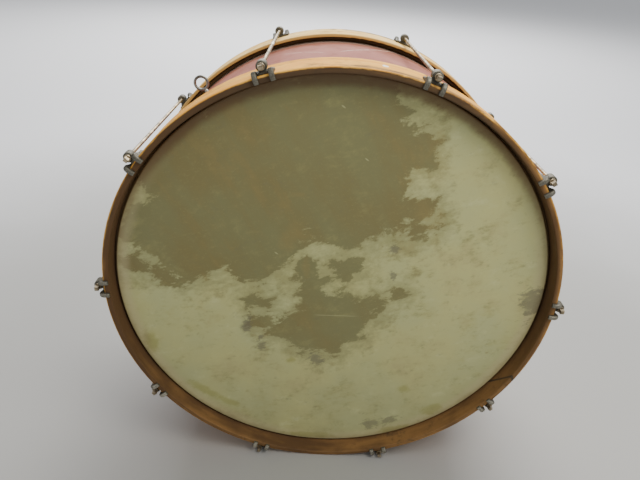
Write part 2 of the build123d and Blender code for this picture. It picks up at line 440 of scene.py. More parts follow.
@dataclass(frozen=True)
class BareMaple:
    """Unfinished maple of the rings and flesh hoops inside the drum."""

    name: str
    axis_z: float
    light: Rgb = (0.42, 0.27, 0.13)
    dark: Rgb = (0.2, 0.11, 0.05)

    def make(self) -> Material:
        """Builds the material."""
        s = Shading(self.name)
        grain = s.bent_grain(Round(self.axis_z).read(s), (8.0, 420.0, 420.0), 5, 0.6)
        soil = s.noise(22.0, 5, 0.65)
        colour = s.layered(self.light, ((grain * 2.2 + 0.4).rise(0.1, 0.9), self.dark),
                           (soil.rise(0.05, 0.35) * 0.6, self.dark))
        return s.finish(colour, soil * 0.2 + 0.68, Normal=s.bump(grain, 0.3, 0.0005))


@dataclass(frozen=True)
class RosePaint:
    """Old rose paint on the shell, browned near the rear hoop, scuffed and scratched."""

    name: str
    axis_z: float
    rose: Rgb = (0.33, 0.118, 0.088)
    pink: Rgb = (0.41, 0.172, 0.132)
    umber: Rgb = (0.25, 0.088, 0.044)
    plum: Rgb = (0.19, 0.068, 0.055)
    scratch: Rgb = (0.86, 0.74, 0.62)
    dust: Rgb = (0.62, 0.47, 0.36)
    wood: Rgb = (0.36, 0.22, 0.11)
    browned_y: Band = (0.030, 0.105)
    dusty_y: Band = (0.104, 0.117)
    bare_r: Band = (0.3535, 0.3525)

    def make(self) -> Material:
        """Builds the material."""
        s = Shading(self.name)
        ways = Round(self.axis_z).read(s)
        radius, _, _, y = ways
        cloud = s.noise(9.0, 5, 0.6)
        blotch = s.noise(32.0, 6, 0.66, warp=0.4)
        fine = s.noise(160.0, 4, 0.6)
        streak = s.bent_grain(ways, (4.0, 30.0, 120.0), 4, 0.6)
        browned = y.rise(*self.browned_y) * (blotch * 1.4 + 0.62).rise(0.2, 0.9)
        marks = self.scratches(s, ways, blotch) * (cloud * 0.5 + 0.85)
        chips = s.specks(34.0, 0.13) * (cloud + blotch).rise(0.12, 0.4)
        # A pale film along the hoops' backs, of settled grit and of painted light that lifts the
        # shade under the hoops' edges.
        dusty_and_lit = abs(y).rise(*self.dusty_y) * (blotch * 0.8 + 0.75)
        colour = s.layered(
            self.rose,
            ((cloud * 2.0 + 0.5).rise(0.1, 0.9), self.pink),
            ((blotch + streak * 0.5).rise(0.02, 0.34) * 0.70, self.plum),
            (browned * 0.85, self.umber),
            ((fine + streak * 0.8).rise(0.20, 0.5) * 0.4, self.pink),
            (marks.least(1.0), self.scratch),
            (chips * 0.9, self.wood),
            (dusty_and_lit.least(1.0) * 0.85, self.dust),
            (radius.rise(*self.bare_r), self.wood))
        height = fine * 0.3 + blotch * 0.5 - chips * 0.8
        rough = (blotch * 0.35 + fine * 0.15 + 0.66).most(0.40)
        return s.finish(colour, rough, Normal=s.bump(height, 0.30, 0.0006),
                        Specular_IOR_Level=0.07)

    @staticmethod
    def scratches(s: Shading, ways: Ways, blotch: Value) -> Value:
        """Two slanting scratches on top, one long and one short, and hairlines round the shell."""
        _, sine, cosine, y = ways
        wander = s.noise(14.0, 3, 0.5) * 0.012
        broken = (s.noise(90.0, 3, 0.6) + 0.60).rise(0.35, 0.62)
        on_top = cosine.rise(0.0, 0.1)
        long_one = abs(y - 0.028 - sine * 0.34 - wander).rise(0.0021, 0.0006)
        long_one = long_one * sine.rise(-0.03, 0.01) * sine.rise(0.29, 0.26) * on_top
        short_one = abs(y + 0.010 + sine * 0.20 - wander * 1.5).rise(0.0015, 0.0004)
        short_one = short_one * sine.rise(-0.30, -0.26) * sine.rise(-0.08, -0.12) * on_top
        where = s.vector(sine * 2.2 + blotch * 0.02, cosine * 2.2, 0.0)
        hairs = s.noise(1.0, 3, 0.5, where, y * 420.0)
        return (long_one * 0.9 + short_one * 0.6) * broken + hairs.rise(0.275, 0.33) * 0.35


@dataclass(frozen=True)
class Calfskin:
    """A calfskin head: opaque pale skin, and olive-brown where grease has made it translucent."""

    name: str
    axis_z: float
    pale: Rgb = (0.57, 0.548, 0.225)
    straw: Rgb = (0.45, 0.425, 0.155)
    mist: Rgb = (0.5, 0.515, 0.245)
    fawn: Rgb = (0.48, 0.42, 0.2)
    chalky: Rgb = (0.64, 0.645, 0.32)
    olive: Rgb = (0.224, 0.216, 0.093)
    umber: Rgb = (0.226, 0.192, 0.074)
    moss: Rgb = (0.36, 0.345, 0.09)
    slate: Rgb = (0.165, 0.155, 0.105)
    rim: Rgb = (0.26, 0.165, 0.08)
    dirt: Rgb = (0.14, 0.072, 0.027)
    # Darker tint for the bottom of the head.
    soil: Rgb = (0.31, 0.29, 0.155)
    cream: Rgb = (0.66, 0.57, 0.33)
    ochre: Rgb = (0.285, 0.228, 0.082)
    rust: Rgb = (0.24, 0.125, 0.04)
    # How far the stain's edge strays from its outline, and the bands across that edge.
    ragged: float = 0.105
    stain_edge: Band = (-0.0045, 0.0060)
    halo_edge: Band = (-0.042, 0.002)
    # Radii of the rings near the hoop: painted light on the sides and bottom, soiling with painted
    # shade, soiling with a painted shadow under the lip at the top, and soiling with painted shade
    # in the skin's bend.
    cream_r: Band = (0.328, 0.346)
    rim_r: Band = (0.3440, 0.3535)
    under_lip_r: Band = (0.3425, 0.3560)
    bend_r: Band = (0.3535, 0.3560)
    # A level cut below the middle.
    cut_drop: float = 0.0515
    cut_half: Band = (0.0013, 0.0003)
    cut_left: Band = (-0.030, -0.015)
    cut_right: Band = (0.055, 0.035)
    fallen: Band = (0.05, -0.34)

    def make(self) -> Material:
        """Builds the material."""
        s = Shading(self.name)
        radius, sine, cosine, _ = Round(self.axis_z).read(s)
        x, up = radius * sine, radius * cosine
        slant = s.stretched((1.0, 1.0, 1.7), 22)
        torn = s.noise(27.0, 10, 0.70, slant, warp=0.3)
        shred = s.noise(95.0, 7, 0.68, slant)
        cloud = s.noise(6.5, 4, 0.55)
        drift = s.noise(21.0, 6, 0.64)
        pores = s.noise(420.0, 4, 0.65)
        fibre = s.noise(1.0, 5, 0.62, s.stretched((60.0, 60.0, 240.0), 12))
        veins = s.noise(1.0, 5, 0.62, s.stretched((17.0, 17.0, 4.0), 31))

        depth = s.attribute("stain_depth") + torn * self.ragged + shred * (0.16 * self.ragged)
        stain = depth.rise(*self.stain_edge)
        halo = (depth + drift * 0.10 + shred * 0.05).rise(*self.halo_edge) * 0.46
        light = s.layered(
            self.pale,
            ((cloud * 2.0 + 0.5).rise(0.1, 0.9), self.mist),
            ((drift + fibre * 0.4 + torn * 0.5).rise(-0.02, 0.34) * 0.75, self.straw),
            ((drift - cloud).rise(0.02, 0.34) * 0.55, self.fawn),
            ((shred * 0.9 + torn * 0.9 + drift * 0.5).rise(0.03, 0.32) * 0.52, self.olive),
            ((torn * 0.9 - drift * 0.6).rise(0.04, 0.28) * 0.65, self.chalky))
        deep = s.layered(
            self.olive,
            ((cloud * 1.5 + veins * 1.6 + 0.45).rise(0.15, 0.85), self.umber),
            ((veins + drift * 0.7).rise(0.04, 0.28) * 0.62, self.ochre),
            ((torn - veins * 0.5).rise(0.04, 0.32) * 0.38, self.straw),
            ((torn + shred * 0.5).rise(-0.06, -0.32) * 0.34, self.slate))

        cut = abs(up - x * 0.02 + self.cut_drop + fibre * 0.001).rise(*self.cut_half)
        cut = cut * x.rise(*self.cut_left) * x.rise(*self.cut_right)
        nicks = s.specks(11.0, 0.055, s.stretched((1.0, 1.0, 3.2), -35)) * stain
        edge = radius + drift * 0.012 + shred * 0.004
        upper = cosine.rise(0.0, 0.8)
        moss = (s.attribute("moss") + drift * 1.1 + shred * 0.9).rise(0.35, 0.85)
        slate = (s.attribute("slate") + torn * 2.0 + shred * 1.9).rise(0.45, 0.85)
        worn = (s.attribute("worn") + torn * 0.9 + shred * 0.7).rise(0.35, 1.0)
        spots = s.specks(24.0, 0.10, slant) * (cloud + drift).rise(0.02, 0.25)
        flecks = s.specks(70.0, 0.13) * (drift + cloud * 0.5).rise(0.06, 0.30)
        # Darker, duller tint towards the bottom of the head.
        fallen = (up + drift * 0.10).rise(*self.fallen) * (drift * 1.2 + 0.55).rise(0.0, 0.9)
        # Soiling, and the painted shadow that the hoop's lip casts on the top of the head.
        lip_shadow_and_soil = (edge + cosine * 0.010).rise(*self.under_lip_r) * cosine.rise(0.25, 0.80)
        skin = s.layered(
            light,
            ((stain + halo * (1.0 - stain)).least(1.0), deep),
            ((cut * 0.62 + nicks).least(1.0) * 0.46, self.chalky),
            # painted light: a paler ring near the rim on the sides and bottom, lifting the shade
            # under the hoop wall
            (edge.rise(*self.cream_r) * (1.0 - upper) * 0.45, self.cream),
            (moss * 0.60, self.moss),
            (slate * 0.62, self.slate),
            (worn * 0.45, self.ochre),
            ((spots + shred * 0.5).rise(0.2, 0.8) * 0.45, self.rust),
            (flecks * 0.45, self.slate),
            ((pores + fibre * 0.6).rise(0.02, 0.40) * 0.26, self.straw),
            (fallen * 0.42, self.soil),
            # soiling, with painted shade that grows towards the top
            (edge.rise(*self.rim_r) * (upper * 0.35 + 0.20), self.rim),
            (lip_shadow_and_soil * 0.74, self.dirt),
            # soiling, and painted shade in the bend where the skin turns into the hoop
            (radius.rise(*self.bend_r) * 0.85, self.dirt))
        height = pores * 0.4 + fibre * 0.5 + drift * 0.8 + torn * 0.4
        rough = drift * 0.2 + pores * 0.1 + 0.54 - stain * 0.06
        return s.finish(skin, rough, Normal=s.bump(height, 0.26, 0.0006), Specular_IOR_Level=0.35)


@dataclass(frozen=True)
class AgedNickel:
    """Nickel plating gone grey-brown, with verdigris and darker pits in its corners."""

    name: str
    bright: Rgb
    dull: Rgb
    pitted: Rgb = (0.075, 0.068, 0.048)
    verdigris: Rgb = (0.15, 0.18, 0.12)
    # The painted glint's pale colour.
    chalk: Rgb = (0.8, 0.76, 0.66)
    knuckle: Rgb = (0.62, 0.58, 0.47)
    tarnish: float = 0.5
    roughness: float = 0.34
    # The middle of a painted glint, a pale spot standing in for a highlight on one rod, with its
    # width and length.
    rubbed: Xyz | None = None
    rubbed_wide: Band = (0.012, 0.006)
    rubbed_long: Band = (0.016, 0.004)
    # Claws only: the drum's axis, their prongs' fronts along it, and their barrels' radii, where
    # painted highlights go.
    axis_z: float | None = None
    prong_y: Band = (0.1815, 0.1848)
    barrel_r: Band = (0.3775, 0.3900)

    def make(self) -> Material:
        """Builds the material."""
        s = Shading(self.name)
        cloud = s.noise(60.0, 5, 0.65)
        fine = s.noise(420.0, 5, 0.68)
        pits = s.specks(330.0, 0.22)
        dark = (cloud * -1.5 + fine + self.tarnish - 0.15).rise(0.2, 0.8)
        green = s.noise(130.0, 4, 0.6).rise(0.14, 0.34)
        colour = s.layered(
            self.dull,
            ((cloud * 1.7 + fine * 0.8 + 1.0 - self.tarnish).rise(0.2, 0.95), self.bright),
            (dark * 0.85, self.pitted),
            (green * (0.35 + 0.4 * self.tarnish), self.verdigris),
            (pits * 0.45, self.pitted))
        if self.axis_z is not None:
            radius, _, cosine, y = Round(self.axis_z).read(s)
            # Painted highlight, partly worn-bright metal: the prongs' fronts, strongest on the
            # lower claws, and the barrels' outer sides.
            worn_and_lit_breakup = (fine * 1.8 + cloud * 1.2 + 0.55).rise(0.1, 0.9)
            prong_wear_and_highlight = abs(y).rise(*self.prong_y) * (cosine.rise(0.3, -0.5) * 0.45 + 0.25)
            barrel_highlight = radius.rise(*self.barrel_r) * 0.35
            colour = s.mix((prong_wear_and_highlight + barrel_highlight) * worn_and_lit_breakup, colour, self.knuckle)
        # Painted glint: a pale spot where light glances off the rod.
        if self.rubbed is not None:
            x, y, z = s.parts(s.place)
            aside = abs(x - self.rubbed[0]) + abs(z - self.rubbed[2])
            along = abs(y - self.rubbed[1]) + cloud * 0.02 + fine * 0.02
            near = aside.rise(*self.rubbed_wide) * along.rise(*self.rubbed_long)
            colour = s.mix(near * 0.9, colour, self.chalk)
        rough = (self.roughness + dark * 0.28 + green * 0.2 + fine * 0.25).most(0.16)
        metal = (1.0 - dark * 0.55 - green * 0.35).most(0.2)
        height = fine * 0.5 + cloud * 0.4 - pits * 0.3
        return s.finish(colour, rough, Metallic=metal, Normal=s.bump(height, 0.45, 0.0004))


@dataclass(frozen=True)
class PlainSteel:
    """Bare steel of the nut and washer inside the shell, with light rust."""

    name: str
    steel: Rgb = (0.42, 0.41, 0.39)
    rust: Rgb = (0.23, 0.1, 0.045)

    def make(self) -> Material:
        """Builds the material."""
        s = Shading(self.name)
        cloud = s.noise(180.0, 5, 0.65)
        rust = cloud.rise(0.02, 0.28)
        colour = s.mix(rust * 0.8, self.steel, self.rust)
        return s.finish(colour, rust * 0.4 + 0.34, Metallic=1.0 - rust * 0.8,
                        Normal=s.bump(cloud, 0.3, 0.0003))


@dataclass(frozen=True)
class PaleFloor:
    """A plain pale studio floor, with painted light: darker near the drum and lighter far off."""

    name: str
    near: Rgb = (0.4, 0.395, 0.375)
    far: Rgb = (0.8, 0.8, 0.81)
    reach: Band = (0.7, 2.2)

    def make(self) -> Material:
        """Builds the material."""
        s = Shading(self.name)
        x, y, _ = s.parts(s.place)
        # Painted light: the floor lightens with distance from the drum.
        away = (x * x + y * y) ** 0.5
        soft = s.noise(2.2, 4, 0.5)
        return s.finish(s.mix((away + soft * 0.3).rise(*self.reach), self.near, self.far), 0.6)


# ---- mesh helpers
def add_piece(name: str, mesh: Mesh) -> Object:
    """Puts a finished mesh in the scene.

    Args:
        name: the piece's name.
        mesh: its mesh, with its place in its vertices.

    Returns:
        The new object, at the origin.
    """
    piece = bpy.data.objects.new(name, mesh)
    bpy.context.scene.collection.objects.link(piece)
    return piece


def wear(piece: Object, material: Material) -> None:
    """Gives a piece one material and no other."""
    piece.data.materials.clear()
    piece.data.materials.append(material)


# ---- sub-assemblies
@dataclass
class Drum:
    """Places and sizes that the sub-assemblies share, read from the frame."""

    axis_z: float
    hoop_r: float
    hoop_edge_y: float
    hoop_back_y: float
    nodes: dict[str, Object]

    @classmethod
    def from_frame(cls) -> "Drum":
        """Reads the hoops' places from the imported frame."""
        low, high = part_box("front_counter_hoop")
        middle, radius = (low.z + high.z) / 2, (high.x - low.x) / 2
        return cls(middle, radius, abs(low.y), abs(high.y), frame["nodes"])

    def dress(self, material: Material, *names: str) -> None:
        """Gives one material to the named nodes."""
        for name in names:
            wear(self.nodes[name], material)


@dataclass
class Shell:
    """The painted shell and the maple rings inside its ends."""

    drum: Drum

    def build(self) -> None:
        """Dresses the shell and its rings."""
        z = self.drum.axis_z
        self.drum.dress(RosePaint("rose_paint", z).make(), "shell")
        rings = [f"{side.word}_reinforcement_ring" for side in Side]
        self.drum.dress(BareMaple("ring_maple", z).make(), *rings)
        LOG.info("shell: rose paint, two maple rings")


@dataclass
class CounterHoops:
    """The two wide varnished hoops."""

    drum: Drum

    def build(self) -> None:
        """Dresses each hoop; the rear one gets a brighter, yellower gold, as painted light."""
        d = self.drum
        sizes = (d.axis_z, d.hoop_r, d.hoop_edge_y, d.hoop_back_y)
        front = VarnishedMaple("varnished_maple", *sizes, chip=(7.7, -0.1440, 0.0045), joint=115.0)
        # Painted light: the rear hoop's finish is a brighter copy of the front one's, for the light
        # that falls on it from behind.
        rear = VarnishedMaple("rear_varnished_maple", *sizes, joint=-130.0,
                              gold=(0.84, 0.52, 0.15), pale=(1.0, 0.72, 0.3))
        d.dress(front.make(), "front_counter_hoop")
        d.dress(rear.make(), "rear_counter_hoop")
        LOG.info("counter hoops: two varnished maple hoops")


@dataclass(frozen=True)
class Patch:
    """A closed outline on a head, in millimetres from its middle: x and z, seen from the front."""

    outline: tuple[Point, ...]

    def depth(self, x: np.ndarray, z: np.ndarray) -> np.ndarray:
        """How deep each point lies inside the outline.

        Args:
            x: the points' x, in millimetres.
            z: the points' z.

        Returns:
            The distance to the outline, positive inside it.
        """
        corners = np.array(self.outline, float)
        nearest = np.full(x.shape, np.inf)
        inside = np.zeros(x.shape, bool)
        for (ax, az), (bx, bz) in zip(corners, np.roll(corners, -1, axis=0)):
            dx, dz = bx - ax, bz - az
            t = np.clip(((x - ax) * dx + (z - az) * dz) / (dx * dx + dz * dz), 0, 1)
            nearest = np.minimum(nearest, np.hypot(x - ax - t * dx, z - az - t * dz))
            if az != bz:
                inside ^= ((az > z) != (bz > z)) & (x < ax + (z - az) * dx / (bz - az))
        return np.where(inside, nearest, -nearest)


@dataclass(frozen=True)
class Smudge:
    """A soft oval mark on a head: its middle and half sizes in millimetres, its lean in degrees."""

    x: float
    z: float
    along: float
    across: float
    lean: float = 0.0

    def strength(self, x: np.ndarray, z: np.ndarray) -> np.ndarray:
        """1 at the mark's middle, fading to 0."""
        turn = math.radians(self.lean)
        u = (x - self.x) * math.cos(turn) + (z - self.z) * math.sin(turn)
        v = (z - self.z) * math.cos(turn) - (x - self.x) * math.sin(turn)
        return np.exp(-((u / self.along) ** 2 + (v / self.across) ** 2))


def smudges(*rows: tuple[float, ...]) -> tuple[Smudge, ...]:
    """Soft marks from rows of their numbers."""
    return tuple(Smudge(*row) for row in rows)


# Stains are grease in the skin, broken up where "broken" lies; the other marks tint the skin.
FRONT_STAINS = tuple(Patch(outline) for outline in (
    ((-330, 175), (-250, 268), (-120, 345), (0, 365), (72, 350), (70, 325), (92, 306), (84, 282),
     (116, 280), (128, 236), (98, 228), (94, 176), (150, 170), (150, 156), (106, 138), (76, 112),
     (22, 82), (-6, 92), (-44, 100), (-52, 76), (-94, 40), (-116, 12), (-152, 8), (-176, 32),
     (-206, 14), (-236, 4), (-270, 34), (-300, 76), (-334, 82), (-322, 118), (-282, 150),
     (-296, 172)),
    ((-52, 66), (-36, 52), (-28, 6), (20, -6), (86, -20), (78, -36), (58, -52), (56, -96),
     (30, -112), (22, -146), (-4, -132), (-44, -142), (-66, -112), (-98, -98), (-84, -64),
     (-52, -40), (-54, 0)),
    ((-146, -30), (-132, -20), (-102, -24), (-104, -40), (-128, -46)),
    ((108, 128), (156, 134), (158, 126), (124, 108), (110, 114)),
    ((-346, 40), (-318, 42), (-280, 24), (-240, 4), (-252, -6), (-296, 10), (-340, 26)),
    ((2, 50), (36, 58), (42, 46), (20, 28), (4, 32)),
    ((-30, 22), (-8, 26), (-4, 12), (-24, 8)),
    ((-136, -68), (-118, -66), (-112, -76), (-132, -80)),
    ((102, 4), (112, 6), (122, -2), (110, -6)),
))
FRONT_MARKS = {
    "moss": smudges(
        (-222, -238, 46, 13, -34), (-182, -262, 34, 12, -30), (210, -262, 30, 16, 30),
        (-62, -155, 15, 9, 20), (148, -212, 16, 10), (150, -318, 46, 12, 14), (-30, -345, 60, 10),
        (-310, -130, 14, 34)),
    "slate": smudges(
        (344, 0, 34, 44), (98, -308, 22, 20), (128, -300, 26, 12, 20), (-142, -80, 12, 26, -10),
        (-118, -118, 10, 26, 5), (100, 34, 8, 12, 20), (-18, -148, 18, 16), (96, 84, 12, 10)),
    "worn": smudges(
        (-44, 40, 9, 34, 6), (-60, 172, 16, 6), (-70, 100, 20, 42, -28), (12, -160, 8, 8),
        (-142, -236, 6, 5), (-320, -120, 10, 24)),
    "broken": smudges(
        (-10, 50, 110, 44, 18), (110, 60, 70, 60, 30), (-112, -70, 40, 50), (120, 250, 60, 90),
        (-300, 90, 60, 90), (90, -60, 50, 60)),
}
REAR_STAINS = tuple(Patch(outline) for outline in (
    ((-70, 352), (40, 360), (120, 330), (108, 262), (150, 214), (118, 160), (64, 150), (30, 92),
     (-24, 84), (-40, 132), (-96, 150), (-130, 210), (-118, 290)),
    ((150, 20), (196, 44), (250, 30), (262, -22), (214, -60), (170, -46), (140, -12)),
    ((-262, -60), (-214, -40), (-176, -66), (-196, -112), (-244, -122)),
    ((-40, -10), (8, 14), (52, -6), (36, -44), (-12, -52)),
    ((-330, 60), (-300, 96), (-282, 60), (-304, 24)),
))
REAR_MARKS = {
    "moss": smudges(
        (190, -262, 44, 14, 32), (-160, -290, 50, 13, -28), (-40, -330, 70, 12),
        (-120, -20, 20, 12, 30), (300, 100, 14, 30)),
    "slate": smudges(
        (-340, -60, 22, 36), (110, -300, 24, 16, 10), (20, -190, 26, 20), (260, 160, 22, 18)),
    "worn": smudges(
        (6, 20, 26, 22), (40, 210, 16, 46, 12), (-150, 80, 8, 8)),
    "broken": smudges(
        (60, 70, 90, 50, 20), (0, -60, 90, 50), (-150, 170, 60, 70)),
}


@dataclass
class Head:
    """A calfskin, drawn over the shell's edge and lapped around its flesh hoop."""

    drum: Drum
    side: Side
    stains: tuple[Patch, ...]
    marks: dict[str, tuple[Smudge, ...]]
    broken_lift: float = 0.011
    skin: float = 0.0008
    bend: float = 0.003
    collar_r: float = 0.3568
    lap_gap: float = 0.0012
    seat: float = 0.0001
    flesh_wall: float = 0.006
    flesh_depth: float = 0.011
    collar_depth: float = 0.009
    collar_rings: tuple[float, ...] = (0.007, 0.012, 0.016)
    ring_step: float = 0.0042
    bend_steps: int = 6
    inner_stride: int = 8
    segments: int = 264
    ripple: float = 0.00035
    waves: tuple[tuple[float, ...], ...] = ((9.0, 6.0, 0.4, 1.0), (-7.0, 15.0, 1.9, 1.0),
                                            (24.0, 0.0, 2.2, 0.6))
    still_r: float = 0.338
    still_band: float = 0.12
    blank: float = 0.80

    def section(self) -> list[Point]:
        """The skin's closed section, as radius and depth behind its face, from axis to axis."""
        bend_r = self.collar_r - self.bend
        flat = np.linspace(0.0, bend_r, max(2, round(bend_r / self.ring_step)) + 1)
        turn = np.linspace(0.0, math.pi / 2, self.bend_steps)
        flesh_r = self.collar_r + self.seat + self.flesh_wall + self.seat
        front = self.skin + self.seat + self.collar_depth - self.seat
        back = self.skin + self.seat + self.collar_depth + self.flesh_depth + self.seat
        lap_r, lap_front, lap_back = flesh_r + self.skin, front - self.skin, back + self.skin
        lap_end = self.collar_r + self.lap_gap
        inner = self.bend - self.skin
        return [
            *((r, 0.0) for r in flat[:-1]),
            *((bend_r + self.bend * math.sin(a), self.bend * (1 - math.cos(a))) for a in turn),
            *((self.collar_r, depth) for depth in self.collar_rings),
            (self.collar_r, back), (flesh_r, back), (flesh_r, front), (lap_end, front),
            (lap_end, lap_front), (lap_r, lap_front), (lap_r, lap_back),
            (self.collar_r - self.skin, lap_back),
            *((bend_r + inner * math.sin(a), self.bend - inner * math.cos(a)) for a in turn[::-1]),
            *((r, self.skin) for r in flat[-2:0:-self.inner_stride]),
            (0.0, self.skin)]

    def ripples(self, x: np.ndarray, z: np.ndarray) -> np.ndarray:
        """How far a dry old skin stands off flat at each point, still at its rim."""
        waves = sum(high * np.sin(a * x + b * z + phase) for a, b, phase, high in self.waves)
        most = sum(wave[-1] for wave in self.waves)
        reach = np.clip((self.still_r - np.hypot(x, z)) / self.still_band, 0, 1)
        return self.ripple / most * waves * reach * reach * (3 - 2 * reach)

    def mesh(self) -> Mesh:
        """Turns the section about the drum's axis, with the skin's ripples and its marks."""
        low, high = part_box(f"{self.side.word}_head")
        face_y = low.y if self.side is Side.FRONT else high.y
        shape = bmesh.new()
        angles = np.linspace(0, 2 * math.pi, self.segments, endpoint=False)
        rings = []
        for radius, depth in self.section():
            if radius == 0:
                rings.append([shape.verts.new((0.0, depth, 0.0))])
            else:
                rings.append([shape.verts.new((radius * math.sin(a), depth, radius * math.cos(a)))
                              for a in angles])
        for ring, after in zip(rings, rings[1:]):
            for i in range(self.segments):
                j = (i + 1) % self.segments
                corners = [ring[i % len(ring)], ring[j % len(ring)],
                           after[j % len(after)], after[i % len(after)]]
                shape.faces.new(list(dict.fromkeys(corners)))
        bmesh.ops.recalc_face_normals(shape, faces=shape.faces)
        mesh = bpy.data.meshes.new(f"{self.side.word}_skin")
        shape.to_mesh(mesh)
        shape.free()
        points = np.zeros(len(mesh.vertices) * 3)
        mesh.vertices.foreach_get("co", points)
        points = points.reshape(-1, 3)
        x, z = points[:, 0].copy(), points[:, 2].copy()
        points[:, 1] = face_y - self.side.value * (points[:, 1] + self.ripples(x, z))
        points[:, 2] += self.drum.axis_z
        mesh.vertices.foreach_set("co", points.ravel())
        if self.side is Side.REAR:
            mesh.flip_normals()
        mesh.polygons.foreach_set("use_smooth", [True] * len(mesh.polygons))
        self.mark(mesh, 1000 * x, 1000 * z)
        mesh.update()
        return mesh

    def mark(self, mesh: Mesh, x: np.ndarray, z: np.ndarray) -> None:
        """Writes the stains and smudges to the points, where the calfskin finish reads them."""
        fields = {name: np.max([mark.strength(x, z) for mark in marks], axis=0)
                  for name, marks in self.marks.items()}
        depth = np.max([patch.depth(x, z) for patch in self.stains], axis=0) / 1000
        fields["stain_depth"] = depth + self.broken_lift * fields.pop("broken")
        for name, values in fields.items():
            layer = mesh.attributes.new(name, "FLOAT", "POINT")
            layer.data.foreach_set("value", values.astype(np.float32))

    def build(self) -> None:
        """Makes the skin in place of its node, and dresses its flesh hoop."""
        word, z = self.side.word, self.drum.axis_z
        piece = add_piece(f"{word}_calfskin", self.mesh())
        wear(piece, Calfskin(f"{word}_calfskin", z).make())
        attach(piece, f"{word}_hoop")
        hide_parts(f"{word}_head")
        math.pi * self.blank**2 / 4
        flesh = BareMaple(f"{word}_flesh_maple", z, dark=(0.12, 0.07, 0.035))
        self.drum.dress(flesh.make(), f"{word}_flesh_hoop")
        LOG.info("%s head: calfskin with %d stains", word, len(self.stains))


class ThreadTree:
    """A Geometry Nodes tree that winds a screw thread on a core, along Y."""

    SIZES = {"Turns": "Float", "Pitch": "Float", "Root Radius": "Float", "Crest Radius": "Float",
             "Core Length": "Float", "Steps": "Int", "Place": "Vector", "Material": "Material"}
    RIDGE_SIDES = 4
    CORE_SIDES = 24

    def __init__(self) -> None:
        """Builds the tree: coil and core, laid along Y, made real and given a material."""
        self.tree = bpy.data.node_groups.new("screw_thread", "GeometryNodeTree")
        self.keys = {}
        for name, kind in self.SIZES.items():
            self.keys[name] = self.tree.interface.new_socket(
                name, in_out="INPUT", socket_type=f"NodeSocket{kind}").identifier
        self.tree.interface.new_socket(
            "Geometry", in_out="OUTPUT", socket_type="NodeSocketGeometry")
        given = self.tree.nodes.new("NodeGroupInput").outputs
        size = {name: given[name] for name in self.SIZES}
        root, length = size["Root Radius"], size["Core Length"]
        depth = self.node("ShaderNodeMath", {0: size["Crest Radius"], 1: root},
                          operation="SUBTRACT")
        height = self.node("ShaderNodeMath", {0: size["Turns"], 1: size["Pitch"]},
                           operation="MULTIPLY")
        coil = self.node("GeometryNodeCurveSpiral", {
            "Resolution": size["Steps"], "Rotations": size["Turns"], "Start Radius": root,
            "End Radius": root, "Height": height})
        coil = self.node("GeometryNodeSetCurveNormal", {"Curve": coil}, mode="Z_UP")
        ridge = self.node("GeometryNodeCurvePrimitiveCircle", {
            "Resolution": self.RIDGE_SIDES, "Radius": depth})
        coil = self.node("GeometryNodeCurveToMesh", {
            "Curve": coil, "Profile Curve": ridge, "Fill Caps": True})
        core = self.node("GeometryNodeMeshCylinder", {
            "Vertices": self.CORE_SIDES, "Radius": root, "Depth": length})
        half = self.node("ShaderNodeMath", {0: length, 1: 0.5}, operation="MULTIPLY")
        lift = self.node("ShaderNodeCombineXYZ", {"Z": half})
        core = self.node("GeometryNodeTransform", {"Geometry": core, "Translation": lift})
        both = self.tree.nodes.new("GeometryNodeJoinGeometry")
        for made in (coil, core):
            self.tree.links.new(made, both.inputs[0])
        laid = self.node("GeometryNodeTransform", {
            "Geometry": both.outputs[0], "Translation": size["Place"],
            "Rotation": (-math.pi / 2, 0.0, 0.0)})
        real = self.node("GeometryNodeRealizeInstances", {0: laid})
        done = self.node("GeometryNodeSetMaterial", {
            "Geometry": real, "Material": size["Material"]})
        self.tree.links.new(done, self.tree.nodes.new("NodeGroupOutput").inputs[0])

    def node(self, kind: str, sockets: dict[str | int, Any],
             **settings: Any) -> NodeSocket:
        """Adds a node.

        Args:
            kind: the node's type.
            sockets: values or links, by socket name or number.
            settings: the node's own settings, set before its sockets.

        Returns:
            Its first output.
        """
        made = self.tree.nodes.new(kind)
        for key, value in settings.items():
            setattr(made, key, value)
        for key, value in sockets.items():
            if isinstance(value, NodeSocket):
                self.tree.links.new(value, made.inputs[key])
            else:
                made.inputs[key].default_value = value
        return next(socket for socket in made.outputs if socket.enabled)

    def wind(self, name: str, sizes: dict[str, Any]) -> Mesh:
        """Winds one thread.

        Args:
            name: the mesh's name.
            sizes: a value for each of the tree's inputs.

        Returns:
            A plain mesh, with its place in its vertices.
        """
        holder = add_piece(name, bpy.data.meshes.new(name))
        modifier = holder.modifiers.new("thread", "NODES")
        modifier.node_group = self.tree
        for key, value in sizes.items():
            modifier[self.keys[key]] = value
        graph = bpy.context.evaluated_depsgraph_get()
        mesh = bpy.data.meshes.new_from_object(holder.evaluated_get(graph))
        holder.modifiers.remove(modifier)
        bpy.data.objects.remove(holder)
        return mesh


